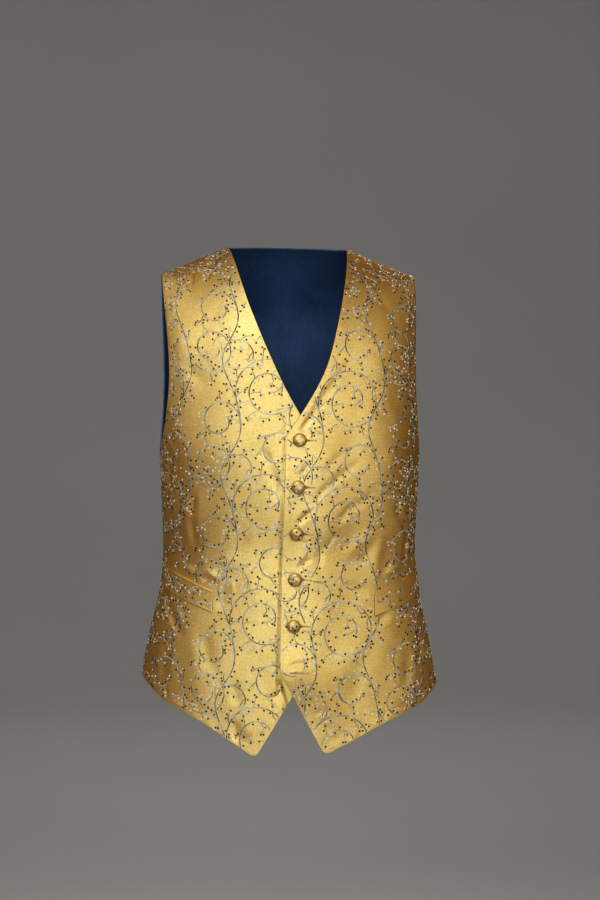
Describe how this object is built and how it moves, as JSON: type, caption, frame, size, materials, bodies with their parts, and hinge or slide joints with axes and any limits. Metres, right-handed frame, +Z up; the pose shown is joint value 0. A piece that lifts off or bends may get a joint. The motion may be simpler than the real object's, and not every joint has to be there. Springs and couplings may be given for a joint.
{
  "type": "embroidered waistcoat",
  "caption": "Man's V-necked, single-breasted waistcoat in embroidered gold silk with pointed fronts, slanting welt pockets and a blue satin back, standing out as worn.",
  "frame": {"origin": "midway between the two shoulder seams, where the wearer's shoulders carry the waistcoat", "axes": "+Z up, -Y out of the front, +X towards the wearer's left"},
  "size_m": [0.4026, 0.2584, 0.6828],
  "materials": {
    "gold_silk": "gold-yellow silk, embroidered with a scrolling vine in silver-grey, dark teal and white thread",
    "blue_satin": "plain steel-blue satin"
  },
  "bodies": {
    "root": {"front_left": "gold_silk", "front_right": "gold_silk", "back_left": "blue_satin", "back_right": "blue_satin", "welt_left": "gold_silk", "welt_right": "gold_silk", "button_1": "gold_silk", "button_2": "gold_silk", "button_3": "gold_silk", "button_4": "gold_silk", "button_5": "gold_silk", "button_6": "gold_silk"}
  },
  "joints": []
}
